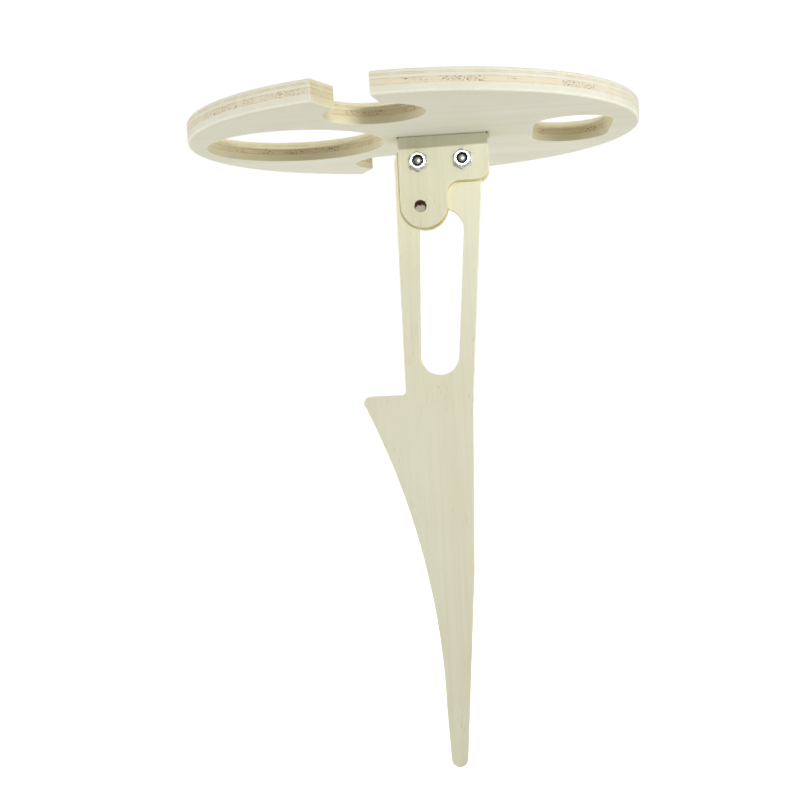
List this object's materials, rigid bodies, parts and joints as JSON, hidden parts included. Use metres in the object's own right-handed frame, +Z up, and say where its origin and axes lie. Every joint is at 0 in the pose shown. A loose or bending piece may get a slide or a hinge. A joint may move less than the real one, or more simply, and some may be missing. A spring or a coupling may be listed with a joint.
{
  "type": "folding stake table",
  "caption": "Small round plywood table on a flat ground stake, with a bottle hole, open glass slots and a hand hole; the bolted cheeks let the top fold flat against the stake.",
  "frame": {"origin": "on the ground line, under the centre of the round top, in the middle of the stake's thickness", "axes": "+Z up, square to the top; -Y towards the face with the nuts; +X from the bottle hole towards the hand hole"},
  "size_m": [0.21, 0.21, 0.3075],
  "materials": {
    "top_plywood": "sanded, unfinished poplar plywood",
    "cheek_plywood": "sanded, unfinished poplar plywood",
    "stake_plywood": "sanded, unfinished poplar plywood",
    "zinc_steel": "bright zinc plate",
    "nylon": "dark nylon"
  },
  "bodies": {
    "stake_body": {"stake": "stake_plywood"},
    "top_body": {"table_top": "top_plywood", "front_cheek": "cheek_plywood", "rear_cheek": "cheek_plywood", "pivot_bolt": "zinc_steel", "pivot_nut": "zinc_steel", "pivot_nut_insert": "nylon", "stop_bolt": "zinc_steel", "stop_nut": "zinc_steel", "stop_nut_insert": "nylon"}
  },
  "joints": [
    {"name": "top_fold", "type": "hinge", "parent": "stake_body", "child": "top_body", "pos_m": [0.0023, 0, 0.112], "axis": [0, -1, 0], "range_deg": [0, 90]}
  ]
}
